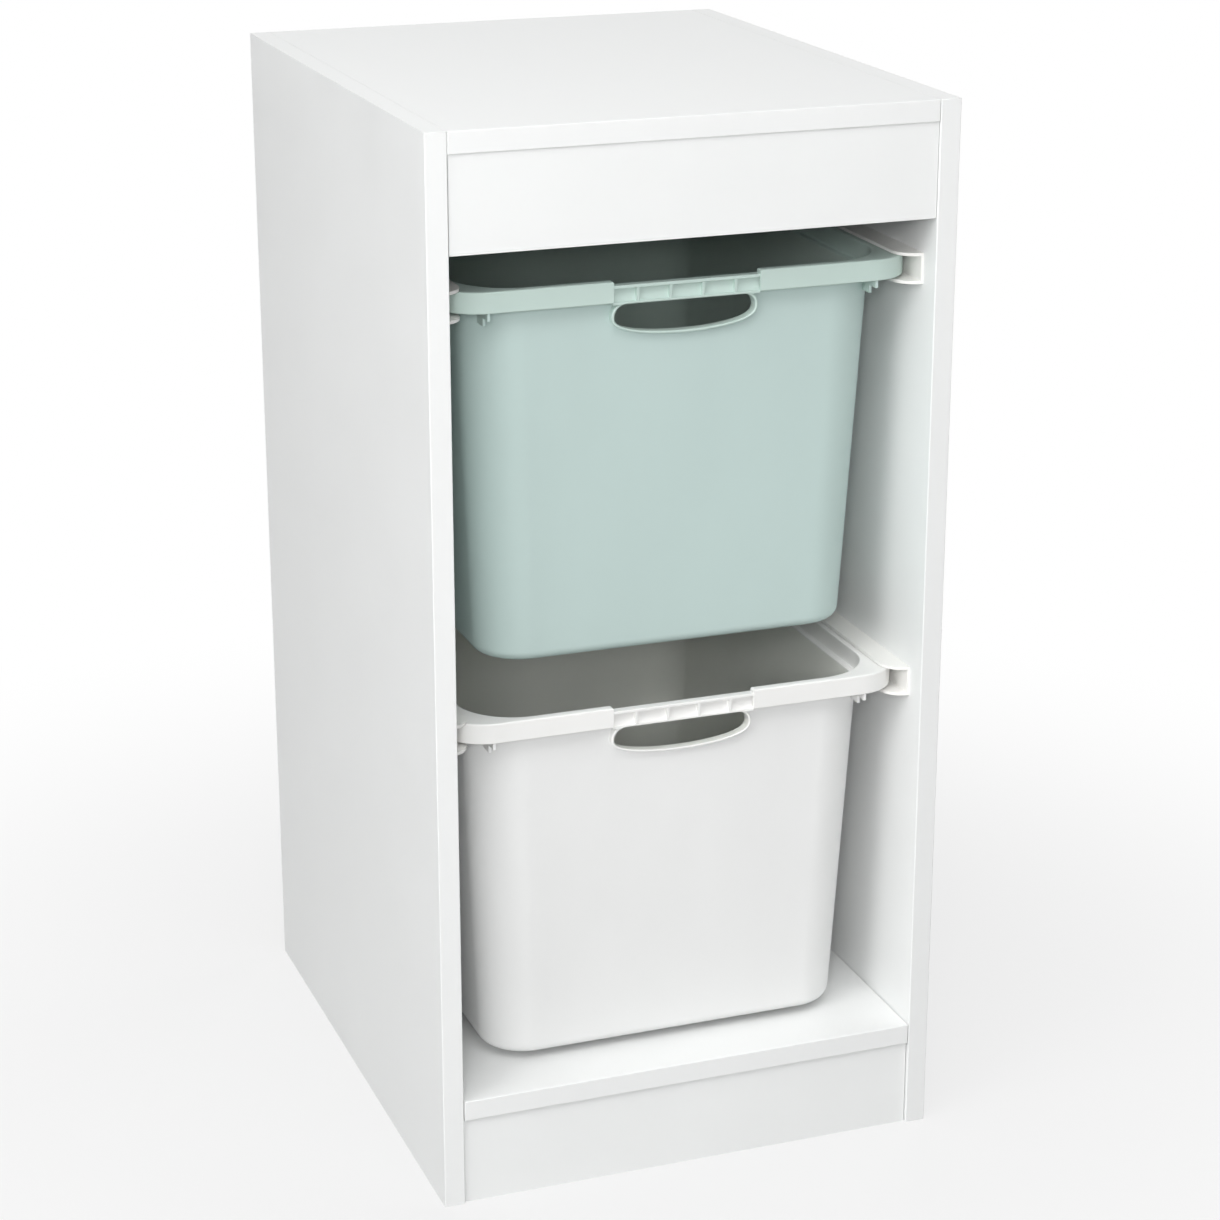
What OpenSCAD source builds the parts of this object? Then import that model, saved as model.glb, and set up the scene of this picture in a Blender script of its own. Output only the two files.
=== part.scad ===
// Narrow floor cabinet with two pull-out plastic bins on moulded channel runners.
// Millimetres. Origin: middle of the footprint, on the floor. The bins pull out towards -Y.

/* [Cabinet] */
// Outside width of the cabinet
cab_w = 400; // [380:1:460]
// Outside depth of the cabinet
cab_d = 480; // [440:1:560]
// Outside height of the cabinet
cab_h = 816; // [800:1:900]
// Thickness of the coated boards
board_t = 16; // [15:0.5:18]
// Height of the front rail under the top board
rail_h = 70; // [50:1:80]
// How far the front rail stands back from the front edges
rail_set = 1.5; // [0.5:0.5:6]
// Height of the plinth board
plinth_h = 70; // [50:1:90]
// How far the plinth board stands back from the front edges
plinth_set = 3; // [1:0.5:12]
// Thickness of the edge bands
edge_t = 1; // [0.5:0.1:2]
// Thickness of the back panel
back_t = 3; // [2.5:0.5:5]
// Distance from the back panel to the rear edges
back_inset = 12; // [8:1:20]
// Depth of the grooves that hold the back panel
groove_d = 7; // [5:0.5:8]
// Joint line between a cross board and a side
board_gap = 0.3; // [0.1:0.1:0.6]

/* [Runners] */
// How far the runner flanges reach from the side
runner_reach = 18; // [16:0.5:22]
// Thickness of the runner web against the side
runner_web = 2; // [1.8:0.1:3]
// Thickness of the runner flanges
runner_flange = 2.3; // [2:0.1:3]
// Distance from the front edges to the runner ends
runner_set = 20; // [14:1:40]
// Thickness of the stop at the rear of a runner
runner_stop = 2.5; // [2:0.5:4]
// Screws that hold one runner
runner_screws_n = 3; // [2:1:5]
// Distance from a runner's end to its first screw
screw_inset = 42; // [30:1:60]

/* [Bins] */
// Height of a bin from its rim to its underside
bin_h = 285; // [260:1:295]
// Distance from the front edges to the bin fronts
bin_set = 22; // [16:1:40]
// Free height between the front rail and the upper bin's rim
reach_gap = 32; // [20:0.5:60]
// Free height under the lower bin
floor_gap = 6; // [4:0.5:14]
// Free depth between a bin and the back panel
back_room = 13; // [8:1:40]
// Wall thickness of the bins
wall_t = 2.5; // [2:0.1:3]
// Taper of the bin walls in degrees
draft = 2.8; // [1:0.1:4]
// Height of the band round the rim
band_h = 15.5; // [13:0.5:18]
// How far the side skirts hang below the band, to slide in the runners
glide_h = 2; // [1:0.5:3]
// Width of the rim's top at the front and back
rim_land = 7; // [6:0.5:10]
// Outer corner radius of the rim
rim_r = 35; // [20:1:45]
// Corner radius of the rim's inner edge
mouth_r = 45; // [30:1:60]
// Depth of the ledge inside the rim
ledge_d = 14.5; // [8:0.5:16]
// Width of the ledge inside the rim
ledge_w = 5; // [3:0.5:8]
// Corner radius of the walls at the floor
floor_r = 34; // [20:1:38]
// Rounding between the walls and the floor
floor_fillet = 8; // [5:0.5:12]

/* [Handle] */
// Width of the handle section in the front band
handle_w = 112; // [90:1:140]
// How far the handle lies below the rim's top
handle_drop = 3; // [1:0.5:4]
// Thickness of the handle's upper strip
strip_t = 2.5; // [2:0.1:3]
// Number of ribs under the strip
rib_n = 4; // [2:1:6]
// Thickness of a rib
rib_t = 2; // [1.5:0.1:3]
// Distance from the handle's end to its first rib
rib_inset = 18.5; // [10:0.5:25]
// Distance from the band's face to the strip's face
strip_set = 0.5; // [0.3:0.1:1]
// Height of the flat stretch over the handle's hollow
cove_flat = 3; // [2:0.5:4]
// Distance from the band's face to the handle's foot
foot_set = 1.5; // [1:0.1:2.5]
// Width of the hand hole
hole_w = 108; // [80:1:120]
// Height of the hand hole
hole_h = 23; // [20:1:30]
// Corner radius of the hand hole's top
hole_r = 9; // [5:0.5:10]
// Distance from the ledge's underside to the hand hole
hole_gap = 0.5; // [0:0.1:4]
// Width of the raised lip round the hand hole
lip_w = 2.2; // [1.5:0.1:3]
// Distance from the band's face to the lip's upper edge
lip_set = 2.5; // [1.5:0.1:4]
// How far the lip leans back from its upper to its lower edge
lip_lean = 4; // [2:0.5:6]

/* [Corner webs] */
// Distance from the mouth's side to the middle of a web
web_in = 13.5; // [11:0.5:16]
// Thickness of a web
web_t = 2; // [1.5:0.1:3]
// Distance from the band's face to a web's lower step
web_step = 12.5; // [9:0.5:16]
// Depth of a web's lower step, from the rim's top
web_low = 27; // [23:0.5:34]
// Depth of a web's upper step, from the rim's top
web_high = 21; // [19:0.5:22]

/* [Fittings] */
// Diameter of a cam lock
cam_d = 15; // [12:0.5:16]
// Height of a cam lock
cam_h = 12; // [10.5:0.5:12.5]
// Distance from a board's end to the middle of its cam lock
cam_reach = 24; // [20:1:34]
// Diameter of a dowel
dowel_d = 8; // [6:0.5:10]
// Length of a dowel
dowel_l = 30; // [25:1:35]
// How far a dowel goes into the side
dowel_in = 10; // [8:0.5:11]
// Diameter of a cam bolt's thread
bolt_d = 5; // [4:0.5:6]
// Diameter of a cam bolt's head
bolt_head_d = 7; // [6.5:0.1:8]
// Thickness of a cam bolt's head
bolt_head_t = 3; // [2:0.1:4]
// How far a cam bolt goes into the side
bolt_in = 11; // [8:0.5:12]
// Width of a cam bolt's collar round the thread
collar_w = 0.5; // [0.3:0.1:0.6]
// Thickness of a cam bolt's collar
collar_t = 2; // [1:0.1:3]
// Length of the cross slot in a cam lock
cross_l = 8; // [6:0.5:10]
// Width of the cross slot
cross_w = 1.6; // [1:0.1:2]
// Depth of the cross slot
cross_d = 2.7; // [1.5:0.1:3]
// Diameter of a runner screw's shank
screw_d = 3.5; // [3:0.1:4]
// Length of a runner screw
screw_l = 15; // [12:0.5:16]
// Diameter of a runner screw's head
screw_head_d = 7; // [6:0.1:8]
// Distance from the cabinet's front and the back panel to the nearest cam locks
fitting_inset = 62; // [40:1:80]
// Distance from a cam lock to the dowel beside it
dowel_step = 40; // [32:1:60]

/* [Clearances] */
// Side play between a bin and the runner web
slide_gap = 1; // [0.5:0.1:2]
// Room between a bin's neck and the runner flanges
neck_gap = 1.5; // [1:0.1:3]
// Gap under the side skirts at rest
glide_gap = 0.3; // [0.2:0.05:0.5]
// Gap over the side skirts
lift_gap = 0.6; // [0.3:0.1:1.5]
// Gap between a closed bin and the runner stop
stop_gap = 0.3; // [0.2:0.1:1]
// Radial play of dowels, bolts, screws and cam locks in their holes
fit = 0.1; // [0.05:0.01:0.2]
// Play of the back panel in its grooves
back_fit = 0.3; // [0.1:0.05:0.5]
// Room at the bottom of each fitting's hole
hole_room = 0.5; // [0.3:0.1:0.8]
// How far heads lie below the surface, and cam locks above their hole's floor
head_gap = 0.2; // [0.1:0.05:0.4]
// Room round a screw's head
head_room = 0.4; // [0.2:0.1:0.6]
// Room round a cam bolt in its board
bolt_room = 0.5; // [0.3:0.1:1]

/* [Hidden] */

$fn = 64;
hull_fn = 40;
eps = 0.01;
board_white = "#eeefee";
edge_white = "#f4f4f2";
runner_white = "#f3f1ec";
bin_mint = "#bccdc8";
bin_white = "#e6e7e7";

// Cabinet
front_y = -cab_d / 2;
rear_y = cab_d / 2;
inner_half = cab_w / 2 - board_t;
cross_half = inner_half - board_gap;
top_z = cab_h - board_t;
shelf_z = plinth_h + board_t;
back_y = rear_y - back_inset - back_t;

// Runners, from the bin skirts that run in them
skirt_h = band_h + glide_h;
channel_h = skirt_h + glide_gap + lift_gap;
runner_h = channel_h + 2 * runner_flange;
bin_y = front_y + bin_set;
bin_l = back_y - back_room - bin_y;
runner_y = front_y + runner_set;
runner_l = bin_y + bin_l + stop_gap + runner_stop - runner_y;
upper_rim_z = top_z - rail_h - reach_gap;
lower_rim_z = shelf_z + floor_gap + bin_h;

// Bins: x from the middle, y back from the band's face, z down from the rim's top
rim_half = inner_half - runner_web - slide_gap;
mouth_half = inner_half - runner_reach - neck_gap - wall_t;
mouth_y = rim_land;
neck_h = ledge_d + wall_t;
tub_half = mouth_half - ledge_w;
tub_y = mouth_y + ledge_w;
tub_r = mouth_r - ledge_w;
taper = tan(draft);
hole_top = neck_h + hole_gap;
hole_low = hole_top + hole_h;
cove_y = mouth_y - wall_t;
arc_n = 10;

// Fittings
cam_pocket = head_gap + cam_h + hole_room / 2;
bolt_hole = bolt_head_d + 2 * bolt_room;
screw_head_h = runner_web - head_gap;
screw_in = screw_l - screw_head_h;
screw_hole = screw_d + 2 * fit;

// Fitting places: side, y, z, and the turn that faces the cam lock inwards
rail_y = front_y + rail_set + board_t / 2;
plinth_y = front_y + plinth_set + board_t / 2;
flat_z = [top_z + board_t / 2, shelf_z - board_t / 2];
cam_places = [for (s = [-1, 1]) each concat(
    [for (z = flat_z) each [[s, front_y + fitting_inset, z, 180], [s, back_y - fitting_inset, z, 180]]],
    [[s, rail_y, top_z - rail_h / 3, -90], [s, plinth_y, plinth_h / 3, -90]])];
dowel_places = [for (s = [-1, 1]) each concat(
    [for (z = flat_z) each [[s, front_y + fitting_inset + dowel_step, z, 180],
                            [s, back_y - fitting_inset - dowel_step, z, 180]]],
    [[s, rail_y, top_z - rail_h * 2 / 3, -90], [s, plinth_y, plinth_h * 2 / 3, -90]])];

// Places children at a board's end: x runs into the board, z towards the cam lock's open face
module at_joint(place) {
    translate([place[0] * inner_half, place[1], place[2]])
    mirror([place[0] > 0 ? 1 : 0, 0, 0])
    rotate([place[3], 0, 0])
    children();
}

// Round rod along x from x0 to x1
module rod(d, x0, x1) {
    translate([x0, 0, 0]) rotate([0, 90, 0]) cylinder(d = d, h = x1 - x0);
}

// Holes that the fittings need, in both boards of every joint
module fitting_holes() {
    for (place = cam_places) at_joint(place) {
        translate([cam_reach, 0, board_t / 2 - cam_pocket])
            cylinder(d = cam_d + 2 * fit, h = cam_pocket + 1);
        rod(bolt_hole, -eps, cam_reach);
        rod(bolt_d + 2 * fit, -bolt_in - hole_room, eps);
    }
    for (place = dowel_places) at_joint(place)
        rod(dowel_d + 2 * fit, -dowel_in - hole_room, dowel_l - dowel_in + hole_room);
}

// Upright board: side is -1 on the left and 1 on the right
module side_board(side) {
    x0 = side < 0 ? -cab_w / 2 : inner_half;
    color(board_white)
    difference() {
        translate([x0, front_y + edge_t, 0]) cube([board_t, cab_d - edge_t, cab_h]);
        translate([side * (inner_half + groove_d / 2) - groove_d / 2, back_y - back_fit / 2,
                   shelf_z - groove_d])
            cube([groove_d, back_t + back_fit, top_z - shelf_z + 2 * groove_d]);
        fitting_holes();
        for (z = [upper_rim_z, lower_rim_z])
            runner_screw_places(side, z) rod(screw_hole, -screw_in - hole_room, 1);
    }
}

// Cross board between the sides, from its front face to its rear face
module cross_board(y0, y1, z0, z1) {
    color(board_white)
    difference() {
        translate([-cross_half, y0, z0]) cube([2 * cross_half, y1 - y0, z1 - z0]);
        fitting_holes();
        back_groove();
    }
}

// Groove for the back panel, across the top and bottom boards
module back_groove() {
    translate([-cab_w / 2, back_y - back_fit / 2, shelf_z - groove_d])
        cube([cab_w, back_t + back_fit, top_z - shelf_z + 2 * groove_d]);
}

module back_panel() {
    seat = groove_d - back_fit;
    color(board_white)
    translate([-inner_half - seat, back_y, shelf_z - seat])
        cube([2 * (inner_half + seat), back_t, top_z - shelf_z + 2 * seat]);
}

module edge_band_side(side) {
    x0 = side < 0 ? -cab_w / 2 : inner_half;
    color(edge_white) translate([x0, front_y, 0]) cube([board_t, edge_t, cab_h]);
}

module edge_band_cross(z0) {
    color(edge_white) translate([-cross_half, front_y, z0]) cube([2 * cross_half, edge_t, board_t]);
}

module edge_band_rail() {
    color(edge_white)
    translate([-cross_half, front_y + rail_set, top_z - rail_h])
        cube([2 * cross_half, board_t, edge_t]);
}

// Puts children at each screw of one runner, x pointing from the side into the channel
module runner_screw_places(side, rim_z) {
    step = (runner_l - 2 * screw_inset) / (runner_screws_n - 1);
    for (i = [0 : runner_screws_n - 1])
        translate([side * inner_half, runner_y + screw_inset + i * step,
                   rim_z + lift_gap + runner_flange - runner_h / 2])
        mirror([side > 0 ? 1 : 0, 0, 0])
        children();
}

module runner_screw() {
    rod(screw_d, -screw_in, 0);
    rotate([0, 90, 0]) cylinder(d1 = screw_d, d2 = screw_head_d, h = screw_head_h);
}

// Flange outline seen from above, its inner front corner rounded off
module flange_outline() {
    difference() {
        square([runner_reach, runner_l]);
        square([runner_reach + 1, runner_reach]);
    }
    intersection() {
        square([runner_reach, runner_reach + 1]);
        translate([0, runner_reach]) circle(r = runner_reach, $fn = 96);
    }
}

// Channel runner screwed to a side, for the bin whose rim's top is at rim_z
module runner(side, rim_z) {
    color(runner_white)
    difference() {
        translate([side * inner_half, runner_y, rim_z + lift_gap + runner_flange - runner_h])
        mirror([side > 0 ? 1 : 0, 0, 0]) {
            cube([runner_web, runner_l, runner_h]);
            linear_extrude(runner_flange) flange_outline();
            translate([0, 0, runner_h - runner_flange]) linear_extrude(runner_flange) flange_outline();
            translate([0, runner_l - runner_stop, 0]) cube([runner_reach, runner_stop, runner_h]);
        }
        runner_screw_places(side, rim_z) {
            rod(screw_hole, -1, runner_web + 1);
            rotate([0, 90, 0])
                cylinder(d1 = screw_hole, d2 = screw_head_d + 2 * head_room, h = runner_web + eps);
        }
    }
}

// Rectangle with round corners, from y0 to y1
module round_rect(half, y0, y1, r) {
    translate([-half + r, y0]) square([2 * (half - r), y1 - y0]);
    translate([-half, y0 + r]) square([2 * half, y1 - y0 - 2 * r]);
    for (x = [-half + r, half - r], y = [y0 + r, y1 - r]) translate([x, y]) circle(r = r);
}

// Tapered tub with round corners and a rounded floor edge, from z0 down to z1
module tub(half, y0, y1, r, z0, z1, low_r, fillet) {
    inset = taper * (z0 - z1);
    hull() {
        for (x = [-half + r, half - r], y = [y0 + r, y1 - r])
            translate([x, y, z0 - eps]) cylinder(r = r, h = eps, $fn = hull_fn);
        for (x = [-1, 1], y = [y0 + inset + low_r, y1 - inset - low_r])
            translate([x * (half - inset - low_r), y, z1 + fillet])
            rotate_extrude($fn = hull_fn) translate([low_r - fillet, 0]) circle(r = fillet, $fn = hull_fn);
    }
}

// Hand hole's lower edge, as points along a flattened oval from left to right
function low_edge(w, h, z) = [for (i = [1 : 2 * arc_n - 1])
    let (a = 90 * i / arc_n) [-w * cos(a), z - h * pow(sin(a), 0.75)]];

// Quarter arc that starts at the angle start
function corner_arc(x, z, r, start) = [for (i = [0 : arc_n])
    let (a = start + 90 * i / arc_n) [x + r * cos(a), z + r * sin(a)]];

// Hand hole outline grown by g, x across and y up from the rim's top
module hand_hole(g) {
    w = hole_w / 2 + g;
    r = hole_r + g;
    z = -hole_top - hole_r;
    polygon(concat(low_edge(w, hole_h - hole_r + g, z), corner_arc(w - r, z, r, 0),
                   corner_arc(r - w, z, r, 90)));
}

// Lays an outline drawn in x and z flat in the front wall, from y0 back to y1
module through_front(y0, y1) {
    translate([0, y1, 0]) rotate([90, 0, 0]) linear_extrude(y1 - y0) children();
}

// Extrudes an outline drawn in y and z across the bin, centred on x
module across(x, w) {
    translate([x - w / 2, 0, 0]) rotate([90, 0, 90]) linear_extrude(w) children();
}

// Raised lip round the hand hole, leaning back towards its foot
module hole_lip() {
    intersection() {
        through_front(0, tub_y) hand_hole(lip_w);
        across(0, hole_w + 4 * lip_w)
            polygon([[lip_set, -hole_top + lip_w], [tub_y, -hole_top + lip_w],
                     [tub_y, -hole_low - lip_w], [lip_set + lip_lean, -hole_low - lip_w]]);
    }
}

// Handle section: upper strip, hollow face and the foot over the hand hole
module handle() {
    strip_z = -handle_drop - strip_t;
    cove_z = strip_z - cove_flat;
    foot_z = -hole_top + lip_w;
    across(0, handle_w)
        polygon(concat([[mouth_y, -hole_top], [mouth_y, -handle_drop], [strip_set, -handle_drop],
                        [strip_set, strip_z], [cove_y, strip_z]],
                       [for (i = [0 : arc_n]) let (a = 90 * i / arc_n)
                           [foot_set + (cove_y - foot_set) * cos(a), cove_z + (foot_z - cove_z) * sin(a)]],
                       [[foot_set, -hole_top]]));
    for (i = [0 : rib_n - 1])
        across(-handle_w / 2 + rib_inset + i * (handle_w - 2 * rib_inset) / (rib_n - 1), rib_t)
            polygon([[cove_y + eps, strip_z + eps], [strip_set, strip_z + eps],
                     [foot_set, foot_z], [cove_y + eps, foot_z]]);
}

// Stepped web from the band back to the wall at a front corner, its rear end cut off by the hollow
module corner_web() {
    reach = mouth_y + mouth_r;
    half_wall = wall_t / 2;
    intersection() {
        across(mouth_half - web_in, web_t)
            polygon([[0, -half_wall], [reach, -half_wall], [reach, -web_low],
                     [web_step, -web_low], [web_step, -web_high], [0, -web_high]]);
        translate([0, 0, -web_low - 1]) linear_extrude(web_low + 1)
            round_rect(rim_half - half_wall, half_wall, bin_l - half_wall, rim_r - half_wall);
    }
}

// One bin, with its origin at the middle of the band's face, level with the rim's top
module bin() {
    difference() {
        union() {
            translate([0, 0, -wall_t]) linear_extrude(wall_t) round_rect(rim_half, 0, bin_l, rim_r);
            difference() {
                translate([0, 0, -band_h]) linear_extrude(band_h) round_rect(rim_half, 0, bin_l, rim_r);
                translate([0, 0, -band_h - 1]) linear_extrude(band_h + 2)
                    round_rect(rim_half - wall_t, wall_t, bin_l - wall_t, rim_r - wall_t);
                translate([-handle_w / 2, -1, -band_h - 1]) cube([handle_w, wall_t + 2, band_h + 2]);
            }
            for (x = [-rim_half, rim_half - wall_t])
                translate([x, rim_r, -skirt_h]) cube([wall_t, bin_l - 2 * rim_r, glide_h + eps]);
            translate([0, 0, -neck_h]) linear_extrude(neck_h)
                round_rect(mouth_half + wall_t, mouth_y - wall_t, bin_l - mouth_y + wall_t, mouth_r + wall_t);
            tub(tub_half + wall_t, tub_y - wall_t, bin_l - tub_y + wall_t, tub_r + wall_t,
                -ledge_d, -bin_h, floor_r + wall_t, floor_fillet);
            corner_web();
            mirror([1, 0, 0]) corner_web();
            hole_lip();
            handle();
        }
        translate([-handle_w / 2, -1, -handle_drop]) cube([handle_w, rim_land + 2, handle_drop + 1]);
        translate([0, 0, -ledge_d]) linear_extrude(ledge_d + 1)
            round_rect(mouth_half, mouth_y, bin_l - mouth_y, mouth_r);
        tub(tub_half, tub_y, bin_l - tub_y, tub_r, -ledge_d + eps, -bin_h + wall_t, floor_r,
            floor_fillet - wall_t);
        through_front(-1, tub_y + taper * hole_low + 1) hand_hole(0);
    }
}

module cam_lock() {
    top = board_t / 2 - cam_pocket + head_gap + cam_h;
    difference() {
        translate([cam_reach, 0, top - cam_h]) cylinder(d = cam_d, h = cam_h);
        rod(bolt_hole, 0, cam_reach + bolt_head_t / 2);
        for (turn = [0, 90])
            translate([cam_reach, 0, top])
            rotate([0, 0, turn]) cube([cross_l, cross_w, 2 * cross_d], center = true);
    }
}

module cam_bolt() {
    rod(bolt_d, -bolt_in, cam_reach - bolt_head_t);
    rod(bolt_d + 2 * collar_w, head_gap, head_gap + collar_t);
    rod(bolt_head_d, cam_reach - bolt_head_t, cam_reach);
}

module side_left() { side_board(-1); }
module side_right() { side_board(1); }
module top_board() { cross_board(front_y + edge_t, rear_y, top_z, cab_h); }
module bottom_board() { cross_board(front_y + edge_t, rear_y, plinth_h, shelf_z); }
module front_rail() {
    cross_board(front_y + rail_set, front_y + rail_set + board_t, top_z - rail_h + edge_t, top_z);
}
module plinth_board() {
    cross_board(front_y + plinth_set, front_y + plinth_set + board_t, 0, plinth_h);
}
module edge_band_left() { edge_band_side(-1); }
module edge_band_right() { edge_band_side(1); }
module edge_band_top() { edge_band_cross(top_z); }
module edge_band_bottom() { edge_band_cross(plinth_h); }
module runner_upper_left() { runner(-1, upper_rim_z); }
module runner_upper_right() { runner(1, upper_rim_z); }
module runner_lower_left() { runner(-1, lower_rim_z); }
module runner_lower_right() { runner(1, lower_rim_z); }
module bin_upper() { color(bin_mint) translate([0, bin_y, upper_rim_z]) bin(); }
module bin_lower() { color(bin_white) translate([0, bin_y, lower_rim_z]) bin(); }
module runner_screws() {
    color("silver")
    for (side = [-1, 1], z = [upper_rim_z, lower_rim_z]) runner_screw_places(side, z) runner_screw();
}
module cam_locks() { color("silver") for (place = cam_places) at_joint(place) cam_lock(); }
module cam_bolts() { color("silver") for (place = cam_places) at_joint(place) cam_bolt(); }
module dowels() {
    color("burlywood")
    for (place = dowel_places) at_joint(place) rod(dowel_d, -dowel_in, dowel_l - dowel_in);
}

side_left();
side_right();
top_board();
bottom_board();
front_rail();
plinth_board();
back_panel();
edge_band_left();
edge_band_right();
edge_band_top();
edge_band_bottom();
edge_band_rail();
runner_upper_left();
runner_upper_right();
runner_lower_left();
runner_lower_right();
bin_upper();
bin_lower();
runner_screws();
cam_locks();
cam_bolts();
dowels();
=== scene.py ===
# White floor cabinet with two pull-out bins on moulded channel runners.
# The sizes in the dictionaries are in millimetres, the floor's and the camera's in metres; places come
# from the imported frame.
import math

import bmesh
import bpy
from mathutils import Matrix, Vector


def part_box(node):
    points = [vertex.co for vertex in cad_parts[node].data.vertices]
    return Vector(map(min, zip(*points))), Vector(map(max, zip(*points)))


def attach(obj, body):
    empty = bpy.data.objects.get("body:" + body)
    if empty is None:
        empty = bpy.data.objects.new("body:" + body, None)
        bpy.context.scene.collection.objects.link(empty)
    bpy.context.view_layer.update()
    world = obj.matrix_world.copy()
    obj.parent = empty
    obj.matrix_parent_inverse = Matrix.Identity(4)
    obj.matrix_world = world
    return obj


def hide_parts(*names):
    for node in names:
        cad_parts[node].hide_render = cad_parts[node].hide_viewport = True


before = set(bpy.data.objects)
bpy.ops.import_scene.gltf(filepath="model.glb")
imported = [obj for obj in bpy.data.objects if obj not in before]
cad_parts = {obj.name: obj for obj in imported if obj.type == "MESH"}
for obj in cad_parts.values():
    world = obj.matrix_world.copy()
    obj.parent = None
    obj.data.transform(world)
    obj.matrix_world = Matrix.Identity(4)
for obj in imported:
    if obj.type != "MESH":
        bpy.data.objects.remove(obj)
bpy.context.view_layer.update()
mm = 0.001
print("frame loaded:", len(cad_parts), "nodes")


# Small tools for meshes

def newPiece(name, points, faces):
    # a mesh object with its place in its mesh
    mesh = bpy.data.meshes.new(name)
    mesh.from_pydata([tuple(p) for p in points], [], faces)
    piece = bpy.data.objects.new(name, mesh)
    bpy.context.scene.collection.objects.link(piece)
    return piece


def editMesh(piece, change):
    # runs change on the piece's mesh as a bmesh
    work = bmesh.new()
    work.from_mesh(piece.data)
    change(work)
    work.to_mesh(piece.data)
    work.free()


def cleanShell(piece, distance=1e-6):
    # one closed skin with its faces pointing outwards
    def change(work):
        bmesh.ops.remove_doubles(work, verts=work.verts, dist=distance)
        bmesh.ops.dissolve_degenerate(work, edges=work.edges, dist=distance)
        bmesh.ops.recalc_face_normals(work, faces=work.faces)
    editMesh(piece, change)


def bakeModifiers(piece):
    # turns the live modifiers into a plain mesh
    graph = bpy.context.evaluated_depsgraph_get()
    mesh = bpy.data.meshes.new_from_object(piece.evaluated_get(graph))
    piece.modifiers.clear()
    piece.data = mesh


def combine(piece, tool, operation):
    # cuts tool out of piece, or joins it on, and drops the tool
    change = piece.modifiers.new("combine", "BOOLEAN")
    change.operation = operation
    change.solver = "EXACT"
    change.object = tool
    bakeModifiers(piece)
    bpy.data.objects.remove(tool)


def shadeSmooth(piece, degrees):
    # smooth faces with sharp lines where they turn, and flats that stay flat
    mesh = piece.data
    mesh.polygons.foreach_set("use_smooth", [True] * len(mesh.polygons))
    mesh.set_sharp_from_angle(angle=math.radians(degrees))
    flats = piece.modifiers.new("flats", "WEIGHTED_NORMAL")
    flats.mode = "FACE_AREA"
    flats.weight = 80
    flats.keep_sharp = True


def giveMaterials(piece, *materials):
    piece.data.materials.clear()
    for material in materials:
        piece.data.materials.append(material)


def settle(piece, node, body="cabinet", degrees=32):
    # stands in for the node, shaded smooth, and moves with the body
    shadeSmooth(piece, degrees)
    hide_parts(node)
    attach(piece, body)


def loft(name, rings):
    # a skin over rings of equal counts, capped at both ends
    count = len(rings[0])
    points = [p for ring in rings for p in ring]
    faces = []
    for row in range(len(rings) - 1):
        here, above = row * count, (row + 1) * count
        for i in range(count):
            j = (i + 1) % count
            faces.append((here + i, here + j, above + j, above + i))
    faces.append(tuple(range(count)))
    faces.append(tuple(len(points) - count + i for i in range(count)))
    piece = newPiece(name, points, faces)
    cleanShell(piece)
    return piece


def extrudeAlong(name, outline, axis, start, end):
    # an outline in the two other axes, given in mm, pulled along x or y
    def place(point, along):
        return (along, point[0], point[1]) if axis == "x" else (point[0], along, point[1])
    return loft(name, [[place(p, start) for p in outline], [place(p, end) for p in outline]])


def arc(centre, radius, start, end, steps):
    # points on a round stretch, angles in degrees
    turn = [math.radians(start + (end - start) * i / steps) for i in range(steps + 1)]
    return [(centre[0] + radius * math.cos(a), centre[1] + radius * math.sin(a)) for a in turn]


def quarterTurn(steps):
    # how far a round stays off its two tangents, as shares of its radius
    turn = [math.radians(90 * i / steps) for i in range(steps + 1)]
    return [(1 - math.cos(a), 1 - math.sin(a)) for a in turn]


# Small tools for materials

def newMaterial(name, colour, roughness, **fixed):
    # a principled shader with its constant values on its own sockets
    material = bpy.data.materials.new(name)
    material.use_nodes = True
    nodes = material.node_tree.nodes
    shader = nodes["Principled BSDF"]
    shader.inputs["Base Color"].default_value = (*colour, 1)
    shader.inputs["Roughness"].default_value = roughness
    for key, value in fixed.items():
        shader.inputs[key.replace("_", " ")].default_value = value
    return material, nodes, material.node_tree.links, shader


def objectNoise(nodes, links, scale, detail=3.0, stretch=(1, 1, 1)):
    # noise fixed to the piece, scale in waves per metre
    place = nodes.new("ShaderNodeTexCoord")
    mapping = nodes.new("ShaderNodeMapping")
    mapping.inputs["Scale"].default_value = stretch
    noise = nodes.new("ShaderNodeTexNoise")
    noise.inputs["Scale"].default_value = scale
    noise.inputs["Detail"].default_value = detail
    links.new(place.outputs["Object"], mapping.inputs["Vector"])
    links.new(mapping.outputs["Vector"], noise.inputs["Vector"])
    return noise.outputs["Fac"]


noiseRange = (0.3, 0.7)        # where nearly all values of the noise lie


def spread(nodes, links, value, low, high):
    # carries noise from its usual range to the range low to high
    node = nodes.new("ShaderNodeMapRange")
    node.inputs["From Min"].default_value = noiseRange[0]
    node.inputs["From Max"].default_value = noiseRange[1]
    node.inputs["To Min"].default_value = low
    node.inputs["To Max"].default_value = high
    links.new(value, node.inputs["Value"])
    return node.outputs["Result"]


def tint(nodes, links, colour, value):
    # the colour times a value near one
    node = nodes.new("ShaderNodeVectorMath")
    node.operation = "SCALE"
    node.inputs[0].default_value = colour
    links.new(value, node.inputs["Scale"])
    return node.outputs["Vector"]


def grain(nodes, links, height, depth, previous=None):
    # bump of a real depth in metres
    node = nodes.new("ShaderNodeBump")
    node.inputs["Strength"].default_value = 1.0
    node.inputs["Distance"].default_value = depth
    links.new(height, node.inputs["Height"])
    if previous:
        links.new(previous, node.inputs["Normal"])
    return node.outputs["Normal"]


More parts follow.
